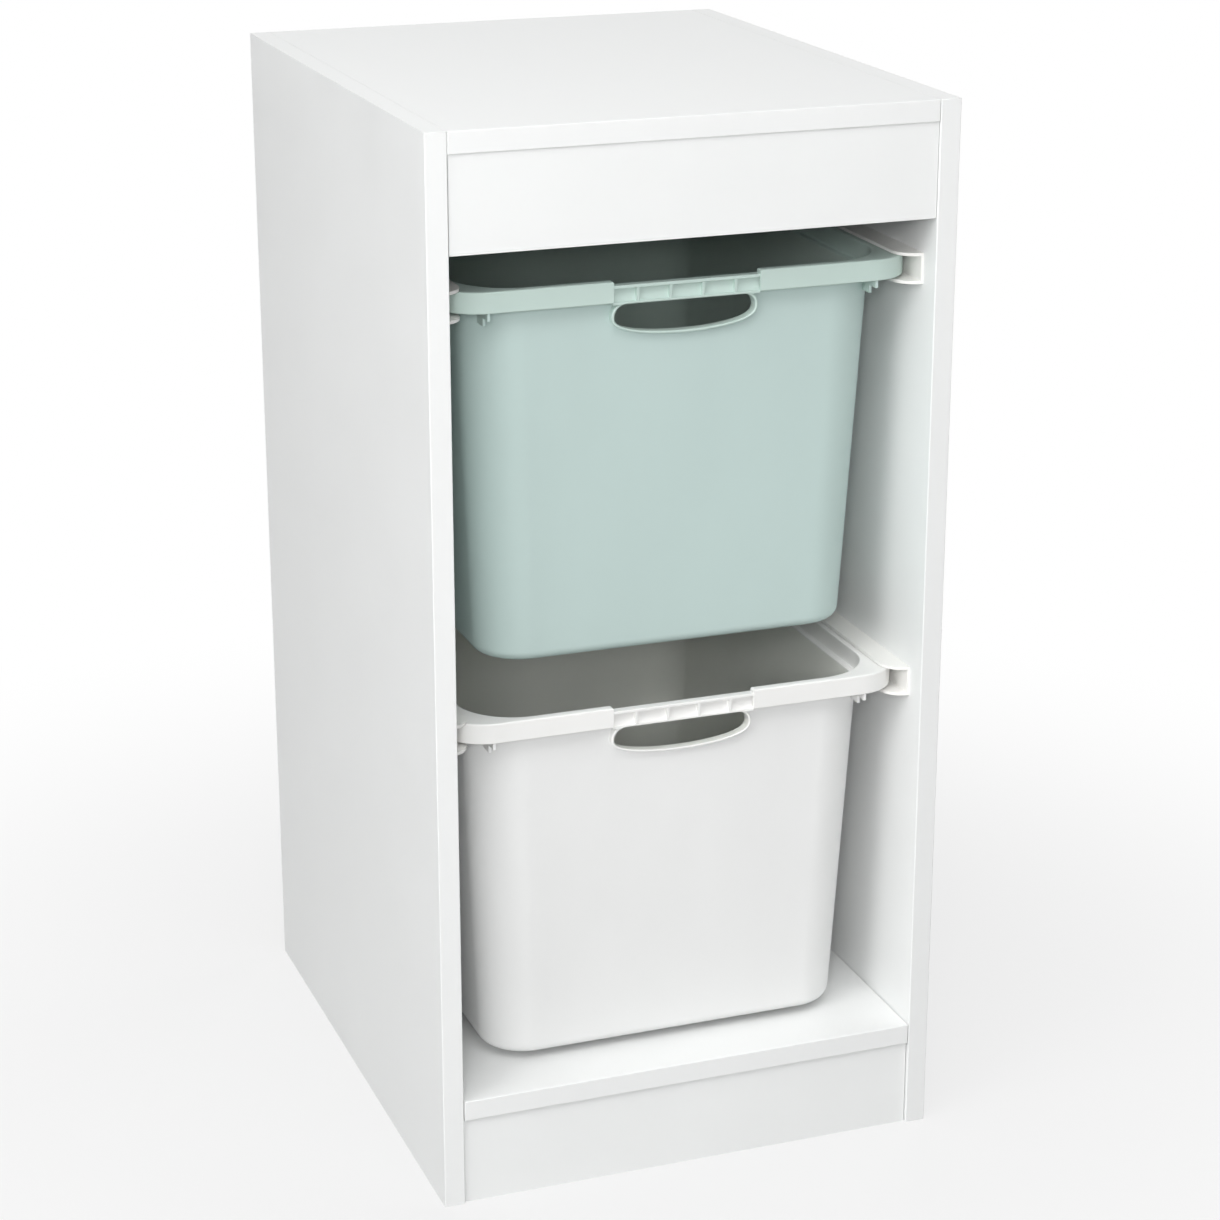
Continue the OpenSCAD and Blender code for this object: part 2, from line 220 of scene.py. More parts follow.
def shade(nodes, links, shader, colour, noise, low, high):
    # the base colour, from low to high times itself along the noise
    value = spread(nodes, links, noise, low, high)
    links.new(tint(nodes, links, colour, value), shader.inputs["Base Color"])


def sheen(nodes, links, shader, roughness, noise, smoother, rougher):
    # a roughness that wanders with the noise
    value = spread(nodes, links, noise, roughness - smoother, roughness + rougher)
    links.new(value, shader.inputs["Roughness"])


def mouldedPlastic(name, colour, finish):
    # injection moulded plastic: fine spark grain, faint flow marks, uneven sheen
    material, nodes, links, shader = newMaterial(name, colour, finish["roughness"],
                                                 IOR=1.5, Specular_IOR_Level=finish["specular"])
    flow = objectNoise(nodes, links, finish["flow"], 2.0, (1, 1, 0.4))
    fine = objectNoise(nodes, links, finish["grain"], 2.0)
    wide = objectNoise(nodes, links, finish["waves"], 2.0)
    shade(nodes, links, shader, colour, flow, 0.985, 1.01)
    sheen(nodes, links, shader, finish["roughness"], wide, 0.05, 0.05)
    slow = grain(nodes, links, wide, finish["waviness"] * mm)
    links.new(grain(nodes, links, fine, finish["depth"] * mm, slow), shader.inputs["Normal"])
    return material


def coatedBoard(name, colour, finish):
    # melamine paper pressed on chipboard: pearl grain and a faint mottle
    material, nodes, links, shader = newMaterial(name, colour, finish["roughness"],
                                                 IOR=1.5, Specular_IOR_Level=finish["specular"])
    mottle = objectNoise(nodes, links, finish["mottle"], 4.0)
    pearl = objectNoise(nodes, links, finish["grain"], 2.0)
    shade(nodes, links, shader, colour, mottle, 0.992, 1.006)
    sheen(nodes, links, shader, finish["roughness"], mottle, 0.04, 0.06)
    links.new(grain(nodes, links, pearl, finish["depth"] * mm), shader.inputs["Normal"])
    return material


def rawChipboard(name):
    # pressed wood chips, seen on the uncoated rear edges and in the holes
    material, nodes, links, shader = newMaterial(name, (0.45, 0.3, 0.17), 0.85)
    place = nodes.new("ShaderNodeTexCoord")
    chips = nodes.new("ShaderNodeTexVoronoi")
    chips.inputs["Scale"].default_value = 420.0
    ramp = nodes.new("ShaderNodeValToRGB")
    ramp.color_ramp.elements[0].color = (0.28, 0.17, 0.085, 1)
    ramp.color_ramp.elements[1].color = (0.62, 0.46, 0.28, 1)
    links.new(place.outputs["Object"], chips.inputs["Vector"])
    links.new(chips.outputs["Color"], ramp.inputs["Fac"])
    links.new(ramp.outputs["Color"], shader.inputs["Base Color"])
    links.new(grain(nodes, links, chips.outputs["Distance"], 0.25 * mm), shader.inputs["Normal"])
    return material


def platedMetal(name, colour, roughness):
    # bright zinc plating with fine draw marks
    material, nodes, links, shader = newMaterial(name, colour, roughness, Metallic=1.0)
    marks = objectNoise(nodes, links, 700.0, 3.0, (0.2, 1, 1))
    cloud = objectNoise(nodes, links, 120.0, 3.0)
    shade(nodes, links, shader, colour, cloud, 0.93, 1.04)
    sheen(nodes, links, shader, roughness, marks, 0.08, 0.1)
    links.new(grain(nodes, links, marks, 0.02 * mm), shader.inputs["Normal"])
    return material


def beechWood(name):
    # turned beech with short flecks along the dowel
    material, nodes, links, shader = newMaterial(name, (0.6, 0.42, 0.25), 0.6)
    streaks = objectNoise(nodes, links, 900.0, 4.0, (0.08, 1, 1))
    ramp = nodes.new("ShaderNodeValToRGB")
    ramp.color_ramp.elements[0].position = 0.35
    ramp.color_ramp.elements[0].color = (0.42, 0.25, 0.13, 1)
    ramp.color_ramp.elements[1].position = 0.65
    ramp.color_ramp.elements[1].color = (0.7, 0.5, 0.3, 1)
    links.new(streaks, ramp.inputs["Fac"])
    links.new(ramp.outputs["Color"], shader.inputs["Base Color"])
    links.new(grain(nodes, links, streaks, 0.05 * mm), shader.inputs["Normal"])
    return material


# Grain, mottle, flow and waves are in noise waves per metre, depth and waviness in millimetres

finishes = {
    "board": {"roughness": 0.42, "specular": 0.4, "mottle": 14.0, "grain": 1300.0, "depth": 0.012},
    "band": {"roughness": 0.34, "specular": 0.45, "mottle": 14.0, "grain": 1700.0, "depth": 0.006},
    "binBody": {"roughness": 0.5, "specular": 0.4, "flow": 16.0, "grain": 1500.0, "depth": 0.016,
                "waves": 9.0, "waviness": 0.05},
    "binRim": {"roughness": 0.38, "specular": 0.45, "flow": 22.0, "grain": 2200.0, "depth": 0.006,
               "waves": 9.0, "waviness": 0.02},
    "runner": {"roughness": 0.36, "specular": 0.45, "flow": 18.0, "grain": 2000.0, "depth": 0.007,
               "waves": 9.0, "waviness": 0.02},
}
colours = {
    "board": (0.845, 0.855, 0.85),
    "band": (0.85, 0.858, 0.854),
    "mintBody": (0.515, 0.635, 0.61),
    "mintRim": (0.535, 0.655, 0.61),
    # the tub's insides: painted light, a warmer tint (lighter on the white bin) standing in for the light
    # in the shaded tub
    "mintInsidePaintedLight": (0.525, 0.63, 0.58),
    "whiteBody": (0.85, 0.855, 0.85),
    "whiteRim": (0.875, 0.875, 0.86),
    "whiteInsidePaintedLight": (0.87, 0.88, 0.83),
    "runner": (0.86, 0.855, 0.83),
    "zinc": (0.62, 0.63, 0.64),
}
boardWhite = coatedBoard("boardWhite", colours["board"], finishes["board"])
bandWhite = coatedBoard("bandWhite", colours["band"], finishes["band"])
chipboard = rawChipboard("chipboard")
mintBody = mouldedPlastic("mintBody", colours["mintBody"], finishes["binBody"])
mintRim = mouldedPlastic("mintRim", colours["mintRim"], finishes["binRim"])
whiteBody = mouldedPlastic("whiteBody", colours["whiteBody"], finishes["binBody"])
whiteRim = mouldedPlastic("whiteRim", colours["whiteRim"], finishes["binRim"])
# the same plastic for the tub's insides, with painted light: a warmer, lighter tint for the shade inside
mintInsidePaintedLight = mouldedPlastic("mintInsidePaintedLight", colours["mintInsidePaintedLight"], finishes["binRim"])
whiteInsidePaintedLight = mouldedPlastic("whiteInsidePaintedLight", colours["whiteInsidePaintedLight"], finishes["binRim"])
runnerWhite = mouldedPlastic("runnerWhite", colours["runner"], finishes["runner"])
zinc = platedMetal("zinc", colours["zinc"], 0.32)
beech = beechWood("beech")
print("materials made")


# Boards: the node's own shape with its edges eased, and raw chipboard where no coating is

boardSizes = {"ease": 0.35, "turn": 30, "faceSlack": 0.6, "jointGap": 0.35, "endZone": 1}


def easedCopy(node, name, ease, pick=None):
    # a merged copy of a node's mesh with the picked sharp edges rounded by ease
    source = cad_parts[node]
    piece = bpy.data.objects.new(name, source.data.copy())
    bpy.context.scene.collection.objects.link(piece)

    def change(work):
        bmesh.ops.remove_doubles(work, verts=work.verts, dist=1e-6)
        bmesh.ops.dissolve_limit(work, angle_limit=math.radians(1), verts=work.verts, edges=work.edges)
        limit = math.radians(boardSizes["turn"])
        edges = [e for e in work.edges if len(e.link_faces) == 2 and e.calc_face_angle() > limit]
        edges = [e for e in edges if pick is None or pick(e)]
        bmesh.ops.bevel(work, geom=edges, offset=ease * mm, segments=3, profile=0.5, affect="EDGES",
                        clamp_overlap=True)
    editMesh(piece, change)
    cleanShell(piece)
    return piece


def paintBoard(piece, node, rawSides):
    # coated outer faces, raw chipboard on rawSides and inside the holes and grooves
    low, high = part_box(node)
    giveMaterials(piece, boardWhite, chipboard)
    slack = boardSizes["faceSlack"] * mm
    for face in piece.data.polygons:
        axis = max(range(3), key=lambda i: abs(face.normal[i]))
        sign = 1 if face.normal[axis] > 0 else -1
        edge = high[axis] if sign > 0 else low[axis]
        outside = abs(face.center[axis] - edge) < slack
        raw = (axis, sign) in rawSides and abs(face.normal[axis]) > 0.99
        face.material_index = 0 if outside and not raw else 1


def openJoints(piece, node):
    # draws both ends in from the sides, so that a thin dark line parts them
    end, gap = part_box(node)[1].x, boardSizes["jointGap"] * mm
    for vertex in piece.data.vertices:
        if abs(vertex.co.x) > end - boardSizes["endZone"] * mm:
            vertex.co.x -= math.copysign(gap, vertex.co.x)


rear, left, right, down = (1, 1), (0, -1), (0, 1), (2, -1)
boards = {
    "side_left": [rear, down],
    "side_right": [rear, down],
    "top_board": [rear],
    "bottom_board": [rear],
    "front_rail": [],
    "plinth_board": [down],
    "back_panel": [left, right, down],
}
for node, rawSides in boards.items():
    piece = easedCopy(node, node + "_board", boardSizes["ease"])
    paintBoard(piece, node, rawSides)
    if node in ("bottom_board", "front_rail", "plinth_board"):
        openJoints(piece, node)
    settle(piece, node)
print("boards made")


# Edge bands: thin strips whose outer edges are rounded over

bandSizes = {"round": 0.7}


def outerEdges(front):
    # picks the long edges on a strip's outer face
    def pick(edge):
        return all(abs(v.co.y - front) < 1e-5 for v in edge.verts)
    return pick


for node in ("edge_band_left", "edge_band_right", "edge_band_top", "edge_band_bottom"):
    piece = easedCopy(node, node + "_strip", bandSizes["round"], outerEdges(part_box(node)[0].y))
    if node in ("edge_band_top", "edge_band_bottom"):
        openJoints(piece, node)
    giveMaterials(piece, bandWhite)
    settle(piece, node)
piece = easedCopy("edge_band_rail", "edge_band_rail_strip", boardSizes["ease"])
openJoints(piece, "edge_band_rail")
giveMaterials(piece, bandWhite)
settle(piece, "edge_band_rail")
print("edge bands made")


# Runners: the channel with its moulded edges rounded, the screw holes left sharp

runnerSizes = {"round": 0.9, "shortest": 1.0}


def longEdge(edge):
    # leaves the short edges of the holes' rims out
    return edge.calc_length() > runnerSizes["shortest"] * mm


for node in ("runner_upper_left", "runner_upper_right", "runner_lower_left", "runner_lower_right"):
    piece = easedCopy(node, node + "_channel", runnerSizes["round"], longEdge)
    giveMaterials(piece, runnerWhite)
    settle(piece, node)
print("runners made")


# Copies of one part at many places, by Geometry Nodes

def startTree(name, inputs):
    # an empty tree with its named inputs and one geometry output
    tree = bpy.data.node_groups.new(name, "GeometryNodeTree")
    for label, kind in inputs.items():
        tree.interface.new_socket(label, in_out="INPUT", socket_type="NodeSocket" + kind)
    tree.interface.new_socket("Geometry", in_out="OUTPUT", socket_type="NodeSocketGeometry")
    return tree, tree.nodes, tree.links, tree.nodes.new("NodeGroupInput")


def endTree(nodes, links, start, copies):
    # makes the copies real meshes, in the material Finish
    whole = nodes.new("GeometryNodeRealizeInstances")
    finish = nodes.new("GeometryNodeSetMaterial")
    end = nodes.new("NodeGroupOutput")
    links.new(copies, whole.inputs["Geometry"])
    links.new(whole.outputs["Geometry"], finish.inputs["Geometry"])
    links.new(start.outputs["Finish"], finish.inputs["Material"])
    links.new(finish.outputs["Geometry"], end.inputs["Geometry"])


def copiesTree():
    # sets Part on every point, turned by the point's own angles and twisted about its own axis
    tree, nodes, links, start = startTree("copiesAtPoints", {
        "Points": "Geometry", "Part": "Object", "Finish": "Material", "Twist": "Float", "Seed": "Int"})
    part = nodes.new("GeometryNodeObjectInfo")
    turn = nodes.new("GeometryNodeInputNamedAttribute")
    turn.data_type = "FLOAT_VECTOR"
    turn.inputs["Name"].default_value = "turn"
    rotation = nodes.new("FunctionNodeEulerToRotation")
    copies = nodes.new("GeometryNodeInstanceOnPoints")
    chance = nodes.new("FunctionNodeRandomValue")
    chance.data_type = "FLOAT"
    chance.inputs[2].default_value = 0.0
    twist = nodes.new("ShaderNodeCombineXYZ")
    spin = nodes.new("GeometryNodeRotateInstances")
    links.new(start.outputs["Part"], part.inputs["Object"])
    links.new(start.outputs["Points"], copies.inputs["Points"])
    links.new(part.outputs["Geometry"], copies.inputs["Instance"])
    links.new(turn.outputs["Attribute"], rotation.inputs["Euler"])
    links.new(rotation.outputs["Rotation"], copies.inputs["Rotation"])
    links.new(start.outputs["Twist"], chance.inputs[3])
    links.new(start.outputs["Seed"], chance.inputs["Seed"])
    links.new(chance.outputs[1], twist.inputs["Z"])
    links.new(copies.outputs["Instances"], spin.inputs["Instances"])
    links.new(twist.outputs["Vector"], spin.inputs["Rotation"])
    endTree(nodes, links, start, spin.outputs["Instances"])
    return tree


def ribTree():
    # a row of leaning ribs, from Start on by Step
    tree, nodes, links, start = startTree("ribRow", {
        "Count": "Int", "Start": "Vector", "Step": "Vector", "Rib": "Vector", "Lean": "Vector",
        "Finish": "Material"})
    row = nodes.new("GeometryNodeMeshLine")
    row.mode = "OFFSET"
    rib = nodes.new("GeometryNodeMeshCube")
    lean = nodes.new("FunctionNodeEulerToRotation")
    copies = nodes.new("GeometryNodeInstanceOnPoints")
    links.new(start.outputs["Count"], row.inputs["Count"])
    links.new(start.outputs["Start"], row.inputs["Start Location"])
    links.new(start.outputs["Step"], row.inputs["Offset"])
    links.new(start.outputs["Rib"], rib.inputs["Size"])
    links.new(start.outputs["Lean"], lean.inputs["Euler"])
    links.new(row.outputs["Mesh"], copies.inputs["Points"])
    links.new(rib.outputs["Mesh"], copies.inputs["Instance"])
    links.new(lean.outputs["Rotation"], copies.inputs["Rotation"])
    endTree(nodes, links, start, copies.outputs["Instances"])
    return tree


def runTree(host, tree, **values):
    # the tree's result on host, as a plain mesh
    modifier = host.modifiers.new("tree", "NODES")
    modifier.node_group = tree
    for item in tree.interface.items_tree:
        if item.in_out == "INPUT" and item.name in values:
            modifier[item.identifier] = values[item.name]
    bakeModifiers(host)


copiesAtPoints = copiesTree()
ribRow = ribTree()


def placeCopies(node, name, part, places, material, twist=0.0):
    # places are (point, turn) in millimetres and degrees
    host = newPiece(name, [Vector(p) * mm for p, turn in places], [])
    angles = host.data.attributes.new("turn", "FLOAT_VECTOR", "POINT")
    angles.data.foreach_set("vector", [math.radians(a) for p, turn in places for a in turn])
    runTree(host, copiesAtPoints, Part=part, Finish=material, Twist=math.radians(twist), Seed=4)
    bpy.data.objects.remove(part)
    settle(host, node, degrees=35)


# Fittings: parts drawn along z in millimetres, then set at every joint

fittingSizes = {
    "inset": 62, "dowelStep": 40, "reach": 24, "segments": 40, "screwInset": 42, "screwsEach": 3,
    "cam": {"across": 15, "low": -4.25, "top": 7.75, "chamfer": 0.5, "rim": 1.6, "dish": 0.3,
            "bore": 8, "boreEnd": 1.5, "cross": 8, "crossWidth": 1.6, "crossDepth": 2.7,
            "tip": 2.2, "foot": 4, "halfFoot": 1.1, "pointerLow": 0.8, "pointerTop": 0.1},
    "bolt": {"thread": 5, "in": 11, "pitch": 2, "cut": 0.45, "tip": 1.2, "rows": 60, "runOut": 0.6,
             "collar": 6, "collarLow": 0.2, "collarTop": 2.2, "bevel": 0.2,
             "neck": 4, "neckLong": 4, "taper": 0.5, "head": 7, "headLow": 21, "end": 24, "round": 1},
    "dowel": {"across": 8, "in": 10, "end": 20, "chamfer": 1, "flutes": 20, "fluteDepth": 0.22,
              "stepsEach": 6},
    "screw": {"thread": 3.5, "in": 13.2, "pitch": 1.35, "cut": 0.4, "rows": 60, "runOut": 0.4,
              "tip": 3.5, "point": 0.15, "tipShare": 0.3, "tipRows": 8,
              "head": 7, "top": 1.8, "edge": 0.15, "cross": 4, "crossWidth": 0.9, "crossDepth": 1.3},
}


def turned(name, rows, segments, wave=None):
    # a round part from rows of (radius, z); wave(angle, z) takes its depth off the radius
    rings = []
    for radius, z in rows:
        turn = [2 * math.pi * i / segments for i in range(segments)]
        ring = [(radius - wave(a, z) if wave else radius) for a in turn]
        rings.append([(r * math.cos(a) * mm, r * math.sin(a) * mm, z * mm) for r, a in zip(ring, turn)])
    return loft(name, rings)


def threadWave(size, low, high):
    # a single start thread between low and high, with sharp crests
    def wave(angle, z):
        if not low < z < high:
            return 0
        step = (z / size["pitch"] - angle / (2 * math.pi)) % 1
        return size["cut"] * abs(2 * step - 1)
    return wave


def crossCut(piece, length, width, top, depth):
    # a cross recess in the upper face, its arms running out at the foot
    footShare, footWidth = 0.45, 0.6
    for turn in (0, 90):
        a = math.radians(turn)
        rings = []
        for share, z in ((footShare, top - depth), (1, top + 0.1)):
            l = length / 2 * share
            w = width / 2 * (footWidth + (1 - footWidth) * share)
            corners = ((-l, -w), (l, -w), (l, w), (-l, w))
            rings.append([((x * math.cos(a) - y * math.sin(a)) * mm,
                           (x * math.sin(a) + y * math.cos(a)) * mm, z * mm) for x, y in corners])
        combine(piece, loft("crossArm", rings), "DIFFERENCE")


def threadRows(size, radius, low, high):
    # even rows for the thread between low and high
    rows = size["rows"]
    return [(radius, low + (high - low) * i / rows) for i in range(rows + 1)]


def makeCam(size, segments):
    # cam lock: chamfered drum with the bolt's bore in its side, a cross recess and a pointer
    r, c, low, top = size["across"] / 2, size["chamfer"], size["low"], size["top"]
    lip = r - size["rim"]
    rows = [(r - c, low), (r, low + c), (r, top - c), (r - c, top), (lip, top),
            (lip - size["dish"], top - size["dish"])]
    cam = turned("cam", rows, segments)
    turn = [2 * math.pi * i / segments for i in range(segments)]
    half = size["bore"] / 2
    bore = [[(x * mm, half * math.cos(a) * mm, half * math.sin(a) * mm) for a in turn]
            for x in (-r - 1, size["boreEnd"])]
    combine(cam, loft("bore", bore), "DIFFERENCE")
    crossCut(cam, size["cross"], size["crossWidth"], top - size["dish"], size["crossDepth"])
    tip, foot, wide = size["tip"] - r, size["foot"] - r, size["halfFoot"]
    pointer = [[(x * mm, y * mm, z * mm) for x, y in ((tip, 0), (foot, -wide), (foot, wide))]
               for z in (top - size["pointerLow"], top - size["pointerTop"])]
    combine(cam, loft("pointer", pointer), "UNION")
    cleanShell(cam)
    return cam


def makeBolt(size, segments):
    # cam bolt: threaded end, collar, neck and a round head
    t, k, n, h = size["thread"] / 2, size["collar"] / 2, size["neck"] / 2, size["head"] / 2
    low, high = size["tip"] - size["in"], size["collarLow"] - size["runOut"]
    foot, brow, bevel = size["collarLow"], size["collarTop"], size["bevel"]
    headLow, end, soft = size["headLow"], size["end"], size["round"]
    neckLow = headLow - size["neckLong"]
    rows = [(t - size["tip"], -size["in"])] + threadRows(size, t, low, high)
    rows += [(t, foot), (k - bevel, foot), (k, foot + bevel), (k, brow - bevel), (k - bevel, brow),
             (t, brow), (t, neckLow - size["taper"]), (n, neckLow), (n, headLow)]
    rows += [(h - soft + soft * math.sin(a), headLow + soft - soft * math.cos(a))
             for a in (0, math.pi / 6, math.pi / 3, math.pi / 2)]
    rows += [(h - soft + soft * math.cos(a), end - soft + soft * math.sin(a))
             for a in (0, math.pi / 6, math.pi / 3, math.pi / 2)]
    return turned("bolt", rows, segments, threadWave(size, low, high))


def makeDowel(size):
    # fluted dowel with chamfered ends
    r, c = size["across"] / 2, size["chamfer"]
    low, high = -size["in"], size["end"]
    rows = [(r - c, low), (r, low + c), (r, high - c), (r - c, high)]

    def flutes(angle, z):
        depth = size["fluteDepth"] * (0.5 - 0.5 * math.cos(size["flutes"] * angle))
        return depth if low < z < high else 0
    return turned("dowel", rows, size["flutes"] * size["stepsEach"], flutes)


def makeScrew(size, segments):
    # countersunk screw with a cross recess
    t, h = size["thread"] / 2, size["head"] / 2
    point, top, edge, steps = -size["in"], size["top"], size["edge"], size["tipRows"]
    low, high = point + size["tip"], -size["runOut"]
    start = size["tipShare"]
    rows = [(size["point"], point)]
    rows += [(t * (start + (1 - start) * i / steps), point + size["tip"] * i / steps)
             for i in range(1, steps)]
    rows += threadRows(size, t, low, high)
    rows += [(t, 0), (h - edge, top - 2 * edge), (h - edge, top - 0.1), (h - 2 * edge, top)]
    screw = turned("screw", rows, segments, threadWave(size, point + 1, high))
    crossCut(screw, size["cross"], size["crossWidth"], top, size["crossDepth"])
    return screw


def makeFittings(size):
    # places along the joints, from the boards' own boxes
    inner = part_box("side_right")[0].x / mm
    front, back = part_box("edge_band_left")[0].y / mm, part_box("back_panel")[0].y / mm
    reach = inner - size["reach"]
    rows = ((front + size["inset"], size["dowelStep"]), (back - size["inset"], -size["dowelStep"]))
    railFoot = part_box("edge_band_rail")[0].z
    cams, bolts, dowels, screws = [], [], [], []
    for side in (-1, 1):
        along = (0, -90 * side, 0)
        flatTurn = (180, 0, 0) if side < 0 else (0, 180, 0)
        uprightTurn = (-90, 0, 0) if side < 0 else (90, 0, 180)
        for node in ("top_board", "bottom_board"):
            low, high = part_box(node)
            z = (low.z + high.z) / 2 / mm
            for y, step in rows:
                cams.append(((side * reach, y, z), flatTurn))
                bolts.append(((side * inner, y, z), along))
                dowels.append(((side * inner, y + step, z), along))
        for node, foot in (("front_rail", railFoot), ("plinth_board", 0)):
            low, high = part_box(node)
            y, top, third = (low.y + high.y) / 2 / mm, high.z / mm, (high.z - foot) / mm / 3
            camHeight = top - third if node == "front_rail" else third
            dowelHeight = top - 2 * third if node == "front_rail" else 2 * third
            cams.append(((side * reach, y, camHeight), uprightTurn))
            bolts.append(((side * inner, y, camHeight), along))
            dowels.append(((side * inner, y, dowelHeight), along))
        for level in ("upper", "lower"):
            low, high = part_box("runner_%s_%s" % (level, "left" if side < 0 else "right"))
            first, last = low.y / mm + size["screwInset"], high.y / mm - size["screwInset"]
            for i in range(size["screwsEach"]):
                y = first + (last - first) * i / (size["screwsEach"] - 1)
                screws.append(((side * inner, y, (low.z + high.z) / 2 / mm), along))
    cam = makeCam(size["cam"], size["segments"])
    placeCopies("cam_locks", "cam_lock_set", cam, cams, zinc)
    bolt = makeBolt(size["bolt"], size["segments"])
    placeCopies("cam_bolts", "cam_bolt_set", bolt, bolts, zinc, 180)
    dowel = makeDowel(size["dowel"])
    placeCopies("dowels", "dowel_set", dowel, dowels, beech, 180)
    screw = makeScrew(size["screw"], size["segments"])
    placeCopies("runner_screws", "runner_screw_set", screw, screws, zinc, 180)


makeFittings(fittingSizes)
print("fittings made")


# Bins: a tapered tub under a wide rim, with a handle section and a lipped hand hole in the front

binSizes = {
    "bandHeight": 15.5, "skirtDrop": 2, "wall": 2.5, "rimRadius": 35, "rimRound": 1.3, "lowRound": 0.7,
    "mouthSide": 19, "mouthFront": 7, "mouthRadius": 45, "mouthRound": 1.1,
    "ledgeDepth": 14.5, "ledgeWidth": 5, "ledgeRound": 0.8,
    "draft": 2.8, "floorRadius": 34, "fillet": 8, "footWidth": 5, "footEdge": 1.5, "footHollow": 1.0,
    "corner": 18, "frontSteps": 6, "sideSteps": 8, "wallRows": (20, 30, 55, 90, 130, 170, 210, 250),
}
handleSizes = {
    "width": 112, "drop": 3, "stripHeight": 2.5, "stripSet": 0.5, "flat": 3, "footSet": 1.5,
    "edgeRound": 0.6, "endRound": 1.5, "overlap": 0.3,
    "ribCount": 4, "ribSpan": 75, "ribWidth": 2, "ribDepth": 4,
    "holeWidth": 108, "holeHeight": 23, "holeRadius": 9, "holeOval": 0.75, "holeGap": 0.5,
    "lipWidth": 2.2, "lipSet": 2.5, "lipLean": 4,
}
webSizes = {"in": 13.5, "thick": 2, "step": 12.5, "low": 27, "high": 21, "front": 1.5, "cornerLean": 1.6}


def ringColumns(half, front, radius, length, size):
    # points round a rounded rectangle; the flag marks the columns of the side skirts
    columns, back = [], length - front - radius
    centres = ((half - radius, front + radius, -90), (half - radius, back, 0),
               (radius - half, back, 90), (radius - half, front + radius, 180))
    steps = (size["sideSteps"], size["frontSteps"], size["sideSteps"], size["frontSteps"])
    for k, (x, y, start) in enumerate(centres):
        bend = arc((x, y), radius, start, start + 90, size["corner"])
        columns += [(p, False) for p in bend]
        after = centres[(k + 1) % 4]
        first, last = bend[-1], arc(after[:2], radius, after[2], after[2], 1)[0]
        side = k in (0, 2)
        for i in range(0 if side else 1, steps[k] + (1 if side else 0)):
            t = i / steps[k]
            point = (first[0] + (last[0] - first[0]) * t, first[1] + (last[1] - first[1]) * t)
            columns.append((point, side))
    return columns


def binRings(size, half, length, height):
    # the wall's section from the middle of the underside, up and over the rim, to the middle of the floor
    wall, ledge = size["wall"], size["ledgeDepth"]
    mouthHalf = half - size["mouthSide"]
    tubHalf, tubFront = mouthHalf - size["ledgeWidth"], size["mouthFront"] + size["ledgeWidth"]
    tubRadius = size["mouthRadius"] - size["ledgeWidth"]
    slope = math.tan(math.radians(size["draft"]))
    bend = size["fillet"]
    wallEnd = height - bend

    def rim(inset, z, drop=0):
        return (half - inset, inset, size["rimRadius"] - inset, z, drop)

    def mouth(inset, z):
        return (mouthHalf - inset, size["mouthFront"] + inset, size["mouthRadius"] - inset, z, 0)

    def tub(out, depth, inset=0.0, z=None):
        # out is the wall's thickness on the outside and 0 on the inside
        fall = slope * (height - ledge) if out else slope * (height - wall - ledge)
        share = (depth - ledge) / (wallEnd - ledge)
        radius = tubRadius + out - share * (tubRadius - size["floorRadius"]) - inset
        return (tubHalf + out - fall * share - inset, tubFront - out + fall * share + inset, radius,
                -depth if z is None else z, 0)

    foot, under = bend + size["footWidth"], -height + size["footHollow"]
    rings = [tub(wall, wallEnd, foot + size["footEdge"], under), tub(wall, wallEnd, foot, -height)]
    rings += [tub(wall, wallEnd, bend * s, -height + bend * c) for c, s in quarterTurn(6)]
    rings += [tub(wall, depth) for depth in reversed(size["wallRows"])]
    neck, low, edge = ledge + wall, size["lowRound"], size["bandHeight"]
    rings += [tub(wall, neck + low), tub(wall, neck, -low, -neck), mouth(-wall + low, -neck),
              mouth(-wall, -neck + low), mouth(-wall, -wall - low), mouth(-wall - low, -wall),
              rim(wall + low, -wall), rim(wall, -wall - low), rim(wall, -wall - 4 * low)]
    rings += [rim(wall - low * c, -edge + low * s, 1) for c, s in quarterTurn(3)]
    rings += [rim(low * s, -edge + low * c, 1) for c, s in quarterTurn(3)]
    top, soft = size["rimRound"], size["mouthRound"]
    rings.append(rim(0, -3 * top))
    rings += [rim(top * c, -top * s) for c, s in quarterTurn(4)]
    rings += [mouth(-soft * s, -soft * c) for c, s in quarterTurn(4)]
    rings += [mouth(0, -3 * soft), mouth(0, -ledge + 3 * low), mouth(0, -ledge + low), mouth(low, -ledge)]
    brow, inner, floor = size["ledgeRound"], bend - wall, -height + wall
    rings += [tub(0, ledge, -brow * s, -ledge - brow * c) for c, s in quarterTurn(3)]
    rings += [tub(0, depth) for depth in size["wallRows"]]
    rings += [tub(0, wallEnd, inner * s, floor + inner * c) for c, s in reversed(quarterTurn(6))]
    return rings


def holeOutline(size, top, grow, steps=20):
    # hand hole grown by grow: flat top with round corners over a flattened oval, x and z
    w, r = size["holeWidth"] / 2 + grow, size["holeRadius"] + grow
    z = top - size["holeRadius"]
    h = size["holeHeight"] - size["holeRadius"] + grow
    turns = [math.radians(90 * i / steps) for i in range(1, 2 * steps)]
    low = [(-w * math.cos(a), z - h * math.sin(a) ** size["holeOval"]) for a in turns]
    return low + arc((w - r, z), r, 0, 90, steps // 2) + arc((r - w, z), r, 90, 180, steps // 2)


def leaningRing(outline, size, top, back):
    # the outline on the lip's leaning face, back behind it
    fall = size["holeHeight"] + 2 * size["lipWidth"]
    lean = size["lipLean"] / fall
    return [(x, size["lipSet"] + lean * (top + size["lipWidth"] - z) + back, z) for x, z in outline]


